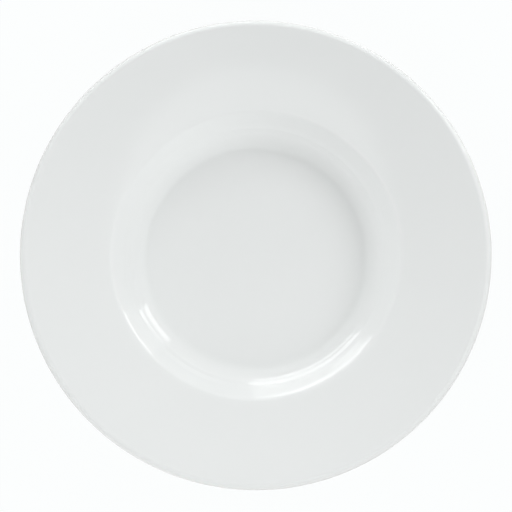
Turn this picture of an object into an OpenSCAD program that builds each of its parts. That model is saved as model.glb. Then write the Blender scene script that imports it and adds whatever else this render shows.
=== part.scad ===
// Rimmed soup plate in white glazed porcelain: a round well inside a wide rim that rises to a rounded lip.
// The fired body is one piece. Two glaze skins lie on it, parted by the bare ring that the plate stands on.
// The origin is the centre of the foot on the table, and +Z is the plate's axis.

/* [Plate] */
// Finished diameter over the lip
plate_d = 240; // [210:1:300]
// Finished height from the table to the top of the lip
plate_h = 29; // [27:0.5:36]

/* [Rim] */
// Angle at which the rim rises outwards, in degrees
rim_slope = 11; // [8:0.5:14]
// Body thickness of the rim where it leaves the well
rim_t = 4; // [3.2:0.1:5]
// Body thickness at the lip
lip_t = 3.8; // [3.7:0.1:5]
// Radius of the roll over the top of the lip
lip_top_r = 2.5; // [1.8:0.1:2.5]
// Radius of the turn under the lip
lip_under_r = 0.9; // [0.5:0.1:0.9]

/* [Well] */
// Diameter at which the lines of the wall and the rim cross
well_d = 147.4; // [140:0.2:156]
// Radial width of the wall, between its lines' crossings with the rim and the floor
wall_run = 13.8; // [11:0.1:16]
// Height of the finished floor above the table
floor_h = 8.5; // [7.4:0.1:9.2]
// Body thickness of the wall
wall_t = 3.6; // [3:0.1:4.5]
// Radius of the hollow in which the floor sweeps up into the wall
sweep_r = 16; // [10:0.5:20]
// Radius of the shoulder between the wall and the rim
shoulder_r = 5; // [3:0.2:8]

/* [Back] */
// Radius of the hollow under the shoulder
back_shoulder_r = 7; // [3:0.5:9]
// Radius round the outside of the sweep
back_sweep_r = 17; // [10:0.5:19]

/* [Foot] */
// Distance from the wall's crossing with the floor in to the middle of the face that the plate stands on
foot_inset = 9.9; // [8.5:0.1:14]
// Width of the foot at the table
foot_w = 2.4; // [1.6:0.1:3]
// Height of the foot on its outside
foot_h = 3.2; // [2.4:0.1:3.6]
// Height of the body above the table inside the foot
recess_h = 3.4; // [2.6:0.1:3.6]
// Angle at which each side of the foot leans from upright, in degrees
foot_draft = 20; // [5:1:30]
// Radius of the hollow where each side of the foot meets the body
foot_cove_r = 2; // [0.5:0.1:2.2]
// Radius of the foot's edges at the table
foot_edge_r = 0.5; // [0.2:0.05:0.7]

/* [Glaze] */
// Thickness of the glaze
glaze_t = 0.3; // [0.15:0.05:0.4]
// Height up each side of the foot that is wiped bare of glaze
bare_h = 1; // [0.8:0.05:1.3]

/* [Hidden] */
$fn = 180;

// Largest distance between a drawn arc and its true curve
curve_tol = 0.01;
biscuit_white = [0.90, 0.88, 0.84];
glaze_white = [0.89, 0.90, 0.89];

// Section geometry. A path runs clockwise round the section, so the open air is always on its left.
function along(heading) = [cos(heading), sin(heading)];
function left_of(heading) = [-sin(heading), cos(heading)];
function heading_to(a, b) = atan2(b.y - a.y, b.x - a.x);
function unit(v) = v / norm(v);
function right_side(v) = [v.y, -v.x];
function flat(p) = [p.x, p.y];
function corner(p, r) = [p.x, p.y, r];

// The point at which the line through p along u crosses the line through q along v
function meet(p, u, q, v) = p + u * cross(q - p, v) / cross(u, v);

// Degrees that a path of corners turns at corner i, positive to the left
function turn_at(path, i) =
    (heading_to(path[i], path[i + 1]) - heading_to(path[i - 1], path[i]) + 540) % 360 - 180;

// Length that the arc of corner i takes from each line that meets there
function reach(path, i) =
    i == 0 || i == len(path) - 1 ? 0 : path[i].z * tan(abs(turn_at(path, i)) / 2);

// Share of its radius that a corner keeps so that two arcs fit on the line from corner i to the next
function room(path, i) =
    let (wanted = reach(path, i) + reach(path, i + 1))
    wanted > 0 ? min(1, norm(flat(path[i + 1]) - flat(path[i])) / wanted) : 1;

// Degrees that one chord of an arc of radius r may span
function chord_span(r) = 2 * acos(max(0, 1 - curve_tol / r));

// The arc that rounds corner i, as points that each hold their heading
function rounded_corner(path, i) =
    let (
        turn = turn_at(path, i),
        start_heading = heading_to(path[i - 1], path[i]),
        r = path[i].z * min(room(path, i - 1), room(path, i)),
        start = flat(path[i]) - r * tan(abs(turn) / 2) * along(start_heading),
        side = sign(turn),
        centre = start + side * r * left_of(start_heading),
        chords = max(1, ceil(abs(turn) / chord_span(r)))
    )
    [for (k = [0:chords])
        let (heading = start_heading + turn * k / chords)
        corner(centre - side * r * left_of(heading), heading)];

// A path of corners, each [x, z, radius], as points that each hold their heading
function rounded(path) =
    let (last = len(path) - 1)
    [
        corner(path[0], heading_to(path[0], path[1])),
        for (i = [1:last - 1])
            each path[i].z > 0
                ? rounded_corner(path, i)
                : [corner(path[i], heading_to(path[i], path[i + 1]))],
        corner(path[last], heading_to(path[last - 1], path[last]))
    ];

function trace(points) = [for (p = points) flat(p)];
function lifted(points, height) = [for (p = points) flat(p) + height * left_of(p.z)];
function reversed(list) = [for (i = [len(list) - 1:-1:0]) list[i]];
function slice(list, first, last) = [for (i = [first:last]) list[i]];

// Corners of the face, from the floor out to the lip
body_lip_r = plate_d / 2 - glaze_t;
body_floor_z = floor_h - glaze_t;
lip_corner_z = plate_h - glaze_t + lip_top_r * (tan(rim_slope) + 1 / cos(rim_slope) - 1);
shoulder = [well_d / 2, lip_corner_z - (body_lip_r - well_d / 2) * tan(rim_slope)];
wall_foot = [shoulder.x - wall_run, body_floor_z];
lip_top = [body_lip_r, lip_corner_z];

// Corners of the back, from the lip in to the wall
wall_line = unit(shoulder - wall_foot);
lip_under = lip_top - [0, lip_t];
rim_root = shoulder - [0, rim_t];
wall_back = wall_foot + wall_t * right_side(wall_line);
back_shoulder = meet(wall_back, wall_line, lip_under, rim_root - lip_under);

// Points of the foot, and the corner that the wall's back makes with the underside. A side of -1 is inside.
foot_r = wall_foot.x - foot_inset;
function foot_side(side, height) =
    [foot_r + side * (foot_w / 2 + height * tan(foot_draft)), height];
feather_h = bare_h + glaze_t;
back_sweep = meet(wall_back, wall_line, foot_side(1, foot_h), [1, 0]);

coat_path = [
    corner([0, body_floor_z], 0),
    corner(wall_foot, sweep_r),
    corner(shoulder, shoulder_r),
    corner(lip_top, lip_top_r),
    corner(lip_under, lip_under_r),
    corner(back_shoulder, back_shoulder_r),
    corner(back_sweep, back_sweep_r),
    corner(foot_side(1, foot_h), foot_cove_r),
    corner(foot_side(1, feather_h), 0),
    corner(foot_side(1, bare_h), 0),
];
foot_path = [
    corner(foot_side(1, bare_h), 0),
    corner(foot_side(1, 0), foot_edge_r),
    corner(foot_side(-1, 0), foot_edge_r),
    corner(foot_side(-1, bare_h), 0),
];
base_path = [
    corner(foot_side(-1, bare_h), 0),
    corner(foot_side(-1, feather_h), 0),
    corner(foot_side(-1, recess_h), foot_cove_r),
    corner([0, recess_h], 0),
];
coat_line = rounded(coat_path);
foot_line = rounded(foot_path);
base_line = rounded(base_path);

// The fired clay: well, rim and foot ring in one piece
module porcelain_body() {
    color(biscuit_white)
        rotate_extrude()
            polygon(concat(
                trace(coat_line),
                trace(slice(foot_line, 1, len(foot_line) - 1)),
                trace(slice(base_line, 1, len(base_line) - 1))
            ));
}

// The glaze from the middle of the well over the lip and down the back, feathered out on the foot's outside
module glaze_coat() {
    color(glaze_white)
        rotate_extrude()
            polygon(concat(
                trace(coat_line),
                reversed(lifted(slice(coat_line, 0, len(coat_line) - 2), glaze_t))
            ));
}

// The glaze inside the foot ring, feathered out on the foot's inside
module base_glaze() {
    color(glaze_white)
        rotate_extrude()
            polygon(concat(
                trace(base_line),
                reversed(lifted(slice(base_line, 1, len(base_line) - 1), glaze_t))
            ));
}

porcelain_body();
glaze_coat();
base_glaze();
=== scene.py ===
"""The looks of the rimmed soup plate: turned meshes, glaze, bare clay, studio light and a camera."""

import math

import bpy
import numpy as np
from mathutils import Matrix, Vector


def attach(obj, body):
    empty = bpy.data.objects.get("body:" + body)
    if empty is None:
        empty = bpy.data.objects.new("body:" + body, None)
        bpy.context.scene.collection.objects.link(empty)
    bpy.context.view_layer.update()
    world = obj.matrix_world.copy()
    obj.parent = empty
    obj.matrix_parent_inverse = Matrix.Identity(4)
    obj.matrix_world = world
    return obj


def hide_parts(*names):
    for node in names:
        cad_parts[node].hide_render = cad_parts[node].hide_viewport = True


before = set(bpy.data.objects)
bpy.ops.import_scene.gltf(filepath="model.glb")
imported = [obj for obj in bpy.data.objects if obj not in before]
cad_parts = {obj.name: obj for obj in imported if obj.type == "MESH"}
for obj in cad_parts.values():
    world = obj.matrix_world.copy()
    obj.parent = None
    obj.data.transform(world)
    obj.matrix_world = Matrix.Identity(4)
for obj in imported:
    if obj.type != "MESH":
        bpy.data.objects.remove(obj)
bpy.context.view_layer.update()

BODY = "root"
MM = 0.001

# The plate's section, in millimetres, as it is made
PLATE_D = 240
PLATE_H = 29
RIM_SLOPE = math.radians(11)
RIM_T = 4
LIP_T = 3.8
LIP_TOP_R = 2.5
LIP_UNDER_R = 0.9
WELL_D = 147.4
WALL_RUN = 13.8
FLOOR_H = 8.5
WALL_T = 3.6
SWEEP_R = 16
SHOULDER_R = 5
BACK_SHOULDER_R = 7
BACK_SWEEP_R = 17
FOOT_INSET = 9.9
FOOT_W = 2.4
FOOT_H = 3.2
RECESS_H = 3.4
FOOT_DRAFT = math.radians(20)
FOOT_COVE_R = 2
FOOT_EDGE_R = 0.5
GLAZE_T = 0.3
BARE_H = 1

# How finely the meshes are turned: steps round the axis, and the longest steps along an arc and a line
TURNS = 512
ARC_STEP = math.radians(3)
LINE_STEP = 2.5
# A point nearer to the axis than this lies on it
AXIS_R = 1e-9

# The glaze: its colours, the sizes of its clouds and waves, and their heights, in millimetres
GLAZE_DIM = (0.783, 0.803, 0.798)
GLAZE_CLEAR = (0.799, 0.817, 0.812)
GLAZE_POOLED = (0.770, 0.795, 0.787)
# The lip edge's colour: darker for its thin glaze, and as painted shade for the dark outline along the edge
GLAZE_THIN_AND_SHADED = (0.760, 0.765, 0.745)
GLAZE_ROUGHNESS = (0.03, 0.08)
GLAZE_IOR = 1.5
CLOUD = 40
SHEEN = 25
POOL_R = 57
POOL_REACH = 6
POOL_SHARE = 0.3
# How far the lip's edge is mixed towards that darker colour, thin glaze plus painted shade
LIP_SHADE_SHARE = 0.7
WAVE = 26
WAVE_H = 0.02
PEEL = 3
PEEL_H = 0.0006
# The jigger's rings: their step, the size of the noise that bends them, its reach in steps, and their height
RING_STEP = 5
RING_WANDER = 60
RING_DRIFT = 1.5
RING_H = 0.0015
# Stretches of the wall that lean back, each from and to a radius, and how far the glaze falls over it
WALL_EASES = ((64.3, 66, 0.2), (68, 72.8, 0.34))

# The bare clay, in the same terms
CLAY_DARK = (0.76, 0.73, 0.67)
CLAY_LIGHT = (0.84, 0.81, 0.75)
CLAY_RUBBED = (0.60, 0.58, 0.54)
CLAY_ROUGHNESS = (0.6, 0.8)
GRAIN = 0.6
GRAIN_H = 0.03
RUB = 9
RUB_H = 0.25
RUB_NOISE = (0.45, 0.7)
RUB_SHARE = 0.6

# How many finer layers a noise holds
SMOOTH = 0
SOFT = 1
PLAIN = 2
FINE = 4
GRAINY = 6

# The sockets of a Mix node that hold its two colours and its mixed one
MIX_COLOURS = (6, 7)
MIX_RESULT = 2

# The photo's frame, in its pixels: its width, the plate's, and how far the frame is off the plate's middle
PHOTO_W = 512
PLATE_W_PX = 472.5
FRAME_OFF_PX = (0.2, -2.5)

# The camera
ELEVATION = math.radians(84.6)
LENS = 270
SENSOR = 36

# The studio, in metres: the floor, the world's even light, and a black card high over the plate
BACKDROP = (0.985, 1, 1)
FLOOR_W = 6
FLOOR_GREY = 0.5
FLOOR_WHITENESS = 0.98
WORLD = 0.05
CARD_R = 0.32
CARD_Y = 0.177
CARD_Z = 1
CARD_SIDES = 64

# The lamps, from LAMP_FAR metres away: each has a name, its azimuth, elevation, width and height in degrees,
# and its radiance. The glints only show in the glaze, and the fills light the plate without showing in it.
LAMP_FAR = 1.5
LAMPS = (
    ("key_box", 39, 28, 17, 20, 3.8),
    ("key_skirt", 38, 10, 19, 16, 0.6),
    ("round_box", 108, 0, 40, 20, 0.9, "ELLIPSE"),
    ("horizon_box", 112, 2, 116, 12, 0.8),
    ("front_box", 245, 10, 120, 20, 0.2),
)
GLINTS = (
    ("round_glint", 114, 17, 52, 10, 3.6, "ELLIPSE"),
    ("low_glint", 102, 10, 26, 6, 1.1),
)
FILLS = (
    ("round_fill", 104, 15, 48, 14, 2),
    ("right_low_fill", 0, 7, 44, 12, 1.8),
    ("back_low_fill", 105, 7, 44, 12, 3),
    ("front_low_fill", 240, 7, 88, 12, 0.5),
    ("right_fill", 15, 24, 44, 18, 5.7),
    ("back_fill", 110, 24, 44, 18, 3.8),
    ("front_fill", 275, 24, 88, 18, 1.3),
    ("high_back_fill", 120, 46, 44, 22, 1.2),
    ("high_front_fill", 240, 46, 44, 22, 6.4),
)


def along(heading):
    return np.array([math.cos(heading), math.sin(heading)])


def left_of(heading):
    return np.array([-math.sin(heading), math.cos(heading)])


def heading_to(a, b):
    return math.atan2(b[1] - a[1], b[0] - a[0])


def unit(v):
    return v / np.linalg.norm(v)


def right_side(v):
    return np.array([v[1], -v[0]])


def cross(a, b):
    return a[0] * b[1] - a[1] * b[0]


def meet(p, u, q, v):
    """The point at which the line through p along u crosses the line through q along v."""
    return p + u * cross(q - p, v) / cross(u, v)


def bend_at(spots, i):
    """How far a path turns at a spot, positive to the left."""
    bend = heading_to(spots[i], spots[i + 1]) - heading_to(spots[i - 1], spots[i])
    return (bend + 3 * math.pi) % (2 * math.pi) - math.pi


def line_points(a, b):
    """Evenly spaced points on a straight stretch, without its ends."""
    count = int(np.linalg.norm(b - a) / LINE_STEP)
    return [(a + (b - a) * k / (count + 1), heading_to(a, b)) for k in range(1, count + 1)]


def arc_points(start, start_heading, bend, radius):
    """Points on an arc that sets out from a start along a heading and turns by a bend."""
    side = math.copysign(1, bend)
    centre = start + side * radius * left_of(start_heading)
    chords = max(2, math.ceil(abs(bend) / ARC_STEP))
    headings = [start_heading + bend * k / chords for k in range(chords + 1)]
    return [(centre - side * radius * left_of(heading), heading) for heading in headings]


def rounded(path):
    """A path of corners, each a point and its radius, as points that each hold their heading."""
    spots = [np.array(spot, float) for spot, _ in path]
    points = [(spots[0], heading_to(spots[0], spots[1]))]
    for i in range(1, len(path) - 1):
        radius = path[i][1]
        bend = bend_at(spots, i)
        start_heading = heading_to(spots[i - 1], spots[i])
        start = spots[i] - radius * math.tan(abs(bend) / 2) * along(start_heading)
        points += line_points(points[-1][0], start)
        if radius == 0:
            points.append((spots[i], heading_to(spots[i], spots[i + 1])))
        else:
            points += arc_points(start, start_heading, bend, radius)
    points += line_points(points[-1][0], spots[-1])
    points.append((spots[-1], heading_to(spots[-2], spots[-1])))
    return points


def section_lines():
    """The outlines of the coat, the foot and the base, clockwise round the fired body."""
    lip_r = PLATE_D / 2 - GLAZE_T
    floor_z = FLOOR_H - GLAZE_T
    lip_z = PLATE_H - GLAZE_T + LIP_TOP_R * (math.tan(RIM_SLOPE) + 1 / math.cos(RIM_SLOPE) - 1)
    shoulder = np.array([WELL_D / 2, lip_z - (lip_r - WELL_D / 2) * math.tan(RIM_SLOPE)])
    wall_foot = np.array([shoulder[0] - WALL_RUN, floor_z])
    lip_top = np.array([lip_r, lip_z])

    wall_line = unit(shoulder - wall_foot)
    lip_under = lip_top - np.array([0, LIP_T])
    rim_root = shoulder - np.array([0, RIM_T])
    wall_back = wall_foot + WALL_T * right_side(wall_line)
    back_shoulder = meet(wall_back, wall_line, lip_under, rim_root - lip_under)

    foot_r = wall_foot[0] - FOOT_INSET

    def foot_side(side, height):
        """A point on the outside of the foot, where side is 1, or on its inside, where side is -1."""
        return np.array([foot_r + side * (FOOT_W / 2 + height * math.tan(FOOT_DRAFT)), height])

    feather_h = BARE_H + GLAZE_T
    back_sweep = meet(wall_back, wall_line, foot_side(1, FOOT_H), np.array([1.0, 0.0]))
    coat = rounded([
        ((0, floor_z), 0),
        (wall_foot, SWEEP_R),
        (shoulder, SHOULDER_R),
        (lip_top, LIP_TOP_R),
        (lip_under, LIP_UNDER_R),
        (back_shoulder, BACK_SHOULDER_R),
        (back_sweep, BACK_SWEEP_R),
        (foot_side(1, FOOT_H), FOOT_COVE_R),
        (foot_side(1, feather_h), 0),
        (foot_side(1, BARE_H), 0),
    ])
    foot = rounded([
        (foot_side(1, BARE_H), 0),
        (foot_side(1, 0), FOOT_EDGE_R),
        (foot_side(-1, 0), FOOT_EDGE_R),
        (foot_side(-1, BARE_H), 0),
    ])
    base = rounded([
        (foot_side(-1, BARE_H), 0),
        (foot_side(-1, feather_h), 0),
        (foot_side(-1, RECESS_H), FOOT_COVE_R),
        ((0, RECESS_H), 0),
    ])
    return coat, foot, base


def trace(points):
    return [spot for spot, _ in points]


def lifted(points, height):
    return [spot + height * left_of(heading) for spot, heading in points]


def turned_points(outline):
    """The points of a turned outline, and one loop of their numbers for each of its points."""
    loops = []
    verts = []
    for r, z in outline:
        if r < AXIS_R:
            loops.append([len(verts)] * TURNS)
            verts.append((0, 0, z * MM))
            continue
        loops.append(list(range(len(verts), len(verts) + TURNS)))
        for k in range(TURNS):
            angle = 2 * math.pi * k / TURNS
            verts.append((r * MM * math.cos(angle), r * MM * math.sin(angle), z * MM))
    return loops, verts


def faces_between(low, high):
    """A band of faces between two loops, with triangles where a loop is one point on the axis."""
    faces = []
    for k in range(TURNS):
        n = (k + 1) % TURNS
        face = list(dict.fromkeys([low[k], low[n], high[n], high[k]]))
        if len(face) > 2:
            faces.append(face)
    return faces


def turned(name, outline, material, closed):
    """A mesh that turns an outline, clockwise round its section, about the plate's axis."""
    loops, verts = turned_points(outline)
    pairs = list(zip(loops, loops[1:]))
    if closed:
        pairs.append((loops[-1], loops[0]))
    faces = [face for low, high in pairs for face in faces_between(low, high)]
    mesh = bpy.data.meshes.new(name)
    mesh.from_pydata(verts, [], faces)
    mesh.validate()
    mesh.update()
    mesh.shade_smooth()
    mesh.materials.append(material)
    piece = bpy.data.objects.new(name, mesh)
    bpy.context.scene.collection.objects.link(piece)
    return piece


def new_material(name):
    material = bpy.data.materials.new(name)
    material.use_nodes = True
    return material, material.node_tree, material.node_tree.nodes["Principled BSDF"]


def feed(tree, socket, source):
    """Link a socket to its source, or set it where the source is a plain value."""
    if isinstance(source, bpy.types.NodeSocket):
        tree.links.new(source, socket)
    else:
        socket.default_value = source


def maths(tree, operation, *sources):
    node = tree.nodes.new("ShaderNodeMath")
    node.operation = operation
    for socket, source in zip(node.inputs, sources):
        feed(tree, socket, source)
    return node.outputs[0]


def added(tree, *heights):
    """The sum of several heights."""
    total = heights[0]
    for height in heights[1:]:
        total = maths(tree, "ADD", total, height)
    return total


def mapped(tree, value, start, end, low, high, interpolation="LINEAR"):
    """A value that goes from low to high as another goes from its start to its end, and stays there."""
    node = tree.nodes.new("ShaderNodeMapRange")
    node.interpolation_type = interpolation
    feed(tree, node.inputs["Value"], value)
    limits = {"From Min": start, "From Max": end, "To Min": low, "To Max": high}
    for name, limit in limits.items():
        node.inputs[name].default_value = limit
    return node.outputs["Result"]


def smooth_step(tree, value, start, end):
    """0 at the start and 1 at the end, with a soft turn at both."""
    return mapped(tree, value, start, end, 0, 1, "SMOOTHSTEP")


def spread(tree, value, low, high):
    """A value from 0 to 1, laid out from low to high."""
    return mapped(tree, value, 0, 1, low, high)


def mixed(tree, factor, first, second):
    """Two colours mixed by a factor from 0 to 1."""
    node = tree.nodes.new("ShaderNodeMix")
    node.data_type = "RGBA"
    feed(tree, node.inputs["Factor"], factor)
    for number, colour in zip(MIX_COLOURS, (first, second)):
        feed(tree, node.inputs[number], colour if isinstance(colour, bpy.types.NodeSocket) else (*colour, 1))
    return node.outputs[MIX_RESULT]


def noise(tree, place, size, detail=PLAIN):
    """Noise from 0 to 1 whose largest lumps are about a size across, in millimetres."""
    node = tree.nodes.new("ShaderNodeTexNoise")
    tree.links.new(place, node.inputs["Vector"])
    node.inputs["Scale"].default_value = 1 / (size * MM)
    node.inputs["Detail"].default_value = detail
    return node.outputs[0]


def place_on_plate(tree):
    """A point's place, its distance from the plate's axis and its height, in metres."""
    place = tree.nodes.new("ShaderNodeTexCoord").outputs["Object"]
    parts = tree.nodes.new("ShaderNodeSeparateXYZ")
    tree.links.new(place, parts.inputs[0])
    across = maths(tree, "MULTIPLY", parts.outputs["X"], parts.outputs["X"])
    along_y = maths(tree, "MULTIPLY", parts.outputs["Y"], parts.outputs["Y"])
    return place, maths(tree, "SQRT", maths(tree, "ADD", across, along_y)), parts.outputs["Z"]


def scaled(tree, value, height):
    """A value from 0 to 1 as a height, in millimetres."""
    return maths(tree, "MULTIPLY", value, height * MM)


def bump(tree, shader, height):
    """Relief whose height is given in metres."""
    node = tree.nodes.new("ShaderNodeBump")
    node.inputs["Distance"].default_value = 1
    tree.links.new(height, node.inputs["Height"])
    tree.links.new(node.outputs[0], shader.inputs["Normal"])


def rings(tree, place, radius, height):
    """The jigger's faint rings: low ripples round the axis, of uneven spacing and strength."""
    drift = maths(tree, "MULTIPLY", noise(tree, place, RING_WANDER, SMOOTH), RING_DRIFT)
    turns = maths(tree, "ADD", maths(tree, "DIVIDE", radius, RING_STEP * MM), drift)
    wave = maths(tree, "SINE", maths(tree, "MULTIPLY", turns, 2 * math.pi))
    return maths(tree, "MULTIPLY", wave, scaled(tree, noise(tree, place, RING_WANDER, SOFT), height))


def eased(tree, radius, start, end, fall):
    """Relief that falls over a stretch of the wall, from and to a radius, so that it leans back there."""
    return mapped(tree, radius, start * MM, end * MM, fall * MM, 0)


def glaze_colour(tree, place, radius):
    """Hardly clouded, a little deeper where the glaze pools in the hollows, and darker at the lip's edge:
    thinner glaze there, plus painted shade for the edge's dark outline.
    """
    colour = mixed(tree, noise(tree, place, CLOUD), GLAZE_DIM, GLAZE_CLEAR)
    off_hollow = maths(tree, "ABSOLUTE", maths(tree, "SUBTRACT", radius, POOL_R * MM))
    pooled = maths(tree, "MULTIPLY", smooth_step(tree, off_hollow, POOL_REACH * MM, 0), POOL_SHARE)
    colour = mixed(tree, pooled, colour, GLAZE_POOLED)
    # Painted shade on the lip's edge, together with its thinner glaze: the outermost ring is mixed towards a
    # darker colour
    thinned_and_shaded = smooth_step(tree, radius, (PLATE_D / 2 - LIP_TOP_R / 2) * MM, PLATE_D / 2 * MM)
    return mixed(tree, maths(tree, "MULTIPLY", thinned_and_shaded, LIP_SHADE_SHARE), colour, GLAZE_THIN_AND_SHADED)


def glaze_material():
    """Glossy glaze that isn't quite flat: long waves, fine peel, the jigger's rings and the eased wall."""
    material, tree, shader = new_material("white_glaze")
    place, radius, _ = place_on_plate(tree)
    feed(tree, shader.inputs["Base Color"], glaze_colour(tree, place, radius))
    feed(tree, shader.inputs["Roughness"], spread(tree, noise(tree, place, SHEEN, FINE), *GLAZE_ROUGHNESS))
    shader.inputs["IOR"].default_value = GLAZE_IOR
    bump(tree, shader, added(
        tree,
        scaled(tree, noise(tree, place, WAVE, SOFT), WAVE_H),
        scaled(tree, noise(tree, place, PEEL, SOFT), PEEL_H),
        rings(tree, place, radius, RING_H),
        *(eased(tree, radius, *ease) for ease in WALL_EASES),
    ))
    return material


def clay_material():
    """Bare fired clay: matt, grained, warmer than the glaze, and rubbed grey where the foot stands."""
    material, tree, shader = new_material("bare_porcelain")
    place, _, height = place_on_plate(tree)
    grain = noise(tree, place, GRAIN, GRAINY)
    colour = mixed(tree, grain, CLAY_DARK, CLAY_LIGHT)
    standing = smooth_step(tree, height, RUB_H * MM, 0)
    rubbed = maths(tree, "MULTIPLY", standing, smooth_step(tree, noise(tree, place, RUB), *RUB_NOISE))
    colour = mixed(tree, maths(tree, "MULTIPLY", rubbed, RUB_SHARE), colour, CLAY_RUBBED)
    feed(tree, shader.inputs["Base Color"], colour)
    feed(tree, shader.inputs["Roughness"], spread(tree, grain, *CLAY_ROUGHNESS))
    bump(tree, shader, scaled(tree, grain, GRAIN_H))
    return material


def make_plate():
    coat, foot, base = section_lines()
    glaze = glaze_material()
    clay = clay_material()
    body = turned("fired_body", trace(coat) + trace(foot)[1:] + trace(base)[1:], clay, False)
    coat_skin = turned("outer_glaze", trace(coat) + lifted(coat[:-1], GLAZE_T)[::-1], glaze, False)
    base_skin = turned("foot_recess_glaze", trace(base) + lifted(base[1:], GLAZE_T)[::-1], glaze, True)
    for piece, node, slot in (
        (body, "porcelain_body", "porcelain"),
        (coat_skin, "glaze_coat", "glaze"),
        (base_skin, "base_glaze", "glaze"),
    ):
        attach(piece, BODY)
        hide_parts(node)


def make_camera():
    camera = bpy.data.cameras.new("camera")
    camera.lens = LENS
    camera.sensor_width = SENSOR
    camera.shift_x, camera.shift_y = (off / PHOTO_W for off in FRAME_OFF_PX)
    distance = PLATE_D * MM * PHOTO_W / PLATE_W_PX * LENS / SENSOR
    back = Vector((0, -math.cos(ELEVATION), math.sin(ELEVATION)))
    seat = bpy.data.objects.new("camera", camera)
    seat.location = Vector((0, 0, PLATE_H * MM)) + back * distance
    seat.rotation_euler = (-back).to_track_quat("-Z", "Y").to_euler()
    bpy.context.scene.collection.objects.link(seat)
    bpy.context.scene.camera = seat


def looked_at(tree):
    """1 for the camera's rays and for what the glaze mirrors, and 0 for the light that falls on things."""
    rays = tree.nodes.new("ShaderNodeLightPath").outputs
    seen = maths(tree, "MAXIMUM", rays["Is Camera Ray"], rays["Is Glossy Ray"])
    return maths(tree, "MAXIMUM", seen, rays["Is Transmission Ray"])


def staged(name, outline, material):
    """A flat sheet of the studio, which isn't part of the plate."""
    mesh = bpy.data.meshes.new(name)
    mesh.from_pydata(outline, [], [tuple(range(len(outline)))])
    mesh.materials.append(material)
    piece = bpy.data.objects.new(name, mesh)
    bpy.context.scene.collection.objects.link(piece)
    return piece


def make_floor():
    """A pale floor that looks white, with a faint shadow left in it."""
    material, tree, shader = new_material("floor")
    shader.inputs["Base Color"].default_value = (FLOOR_GREY, FLOOR_GREY, FLOOR_GREY, 1)
    shader.inputs["Roughness"].default_value = 1
    shader.inputs["Specular IOR Level"].default_value = 0
    glow = tree.nodes.new("ShaderNodeEmission")
    glow.inputs["Color"].default_value = (*BACKDROP, 1)
    blend = tree.nodes.new("ShaderNodeMixShader")
    feed(tree, blend.inputs[0], maths(tree, "MULTIPLY", looked_at(tree), FLOOR_WHITENESS))
    tree.links.new(shader.outputs[0], blend.inputs[1])
    tree.links.new(glow.outputs[0], blend.inputs[2])
    tree.links.new(blend.outputs[0], tree.nodes["Material Output"].inputs["Surface"])
    half = FLOOR_W / 2
    staged("floor", [(-half, -half, 0), (half, -half, 0), (half, half, 0), (-half, half, 0)], material)


def make_card():
    """A black card over the plate, which only shows as a darker patch in what the glaze mirrors."""
    material, _, shader = new_material("card")
    shader.inputs["Base Color"].default_value = (0, 0, 0, 1)
    shader.inputs["Specular IOR Level"].default_value = 0
    turns = [2 * math.pi * k / CARD_SIDES for k in range(CARD_SIDES)]
    outline = [(CARD_R * math.cos(turn), CARD_Y + CARD_R * math.sin(turn), CARD_Z) for turn in turns]
    card = staged("card", outline, material)
    card.visible_camera = False
    card.visible_diffuse = False
    card.visible_shadow = False


def make_lamp(name, azimuth, elevation, wide, high, radiance, shape="RECTANGLE"):
    """A soft lamp that faces the well from a direction and spans so many degrees each way."""
    width, height = (2 * LAMP_FAR * math.tan(math.radians(span) / 2) for span in (wide, high))
    light = bpy.data.lights.new(name, "AREA")
    light.shape = shape
    light.size = width
    light.size_y = height
    share = math.pi / 4 if shape == "ELLIPSE" else 1
    light.energy = radiance * math.pi * width * height * share
    lamp = bpy.data.objects.new(name, light)
    a, e = math.radians(azimuth), math.radians(elevation)
    way = Vector((math.cos(a) * math.cos(e), math.sin(a) * math.cos(e), math.sin(e)))
    lamp.location = Vector((0, 0, FLOOR_H * MM)) + way * LAMP_FAR
    lamp.rotation_euler = way.to_track_quat("Z", "Y").to_euler()
    lamp.visible_camera = False
    bpy.context.scene.collection.objects.link(lamp)
    return lamp


def make_world():
    """White for what looks at it, and an even grey light on everything."""
    world = bpy.data.worlds.new("studio")
    world.use_nodes = True
    tree = world.node_tree
    sky = tree.nodes["Background"]
    sky.inputs["Color"].default_value = (*BACKDROP, 1)
    feed(tree, sky.inputs["Strength"], spread(tree, looked_at(tree), WORLD, 1))
    bpy.context.scene.world = world


def make_light():
    make_world()
    for lamp in LAMPS:
        make_lamp(*lamp)
    for glint in GLINTS:
        make_lamp(*glint).visible_diffuse = False
    for fill in FILLS:
        make_lamp(*fill).visible_glossy = False


make_plate()
make_camera()
make_floor()
make_card()
make_light()
bpy.context.scene.view_settings.view_transform = "Standard"
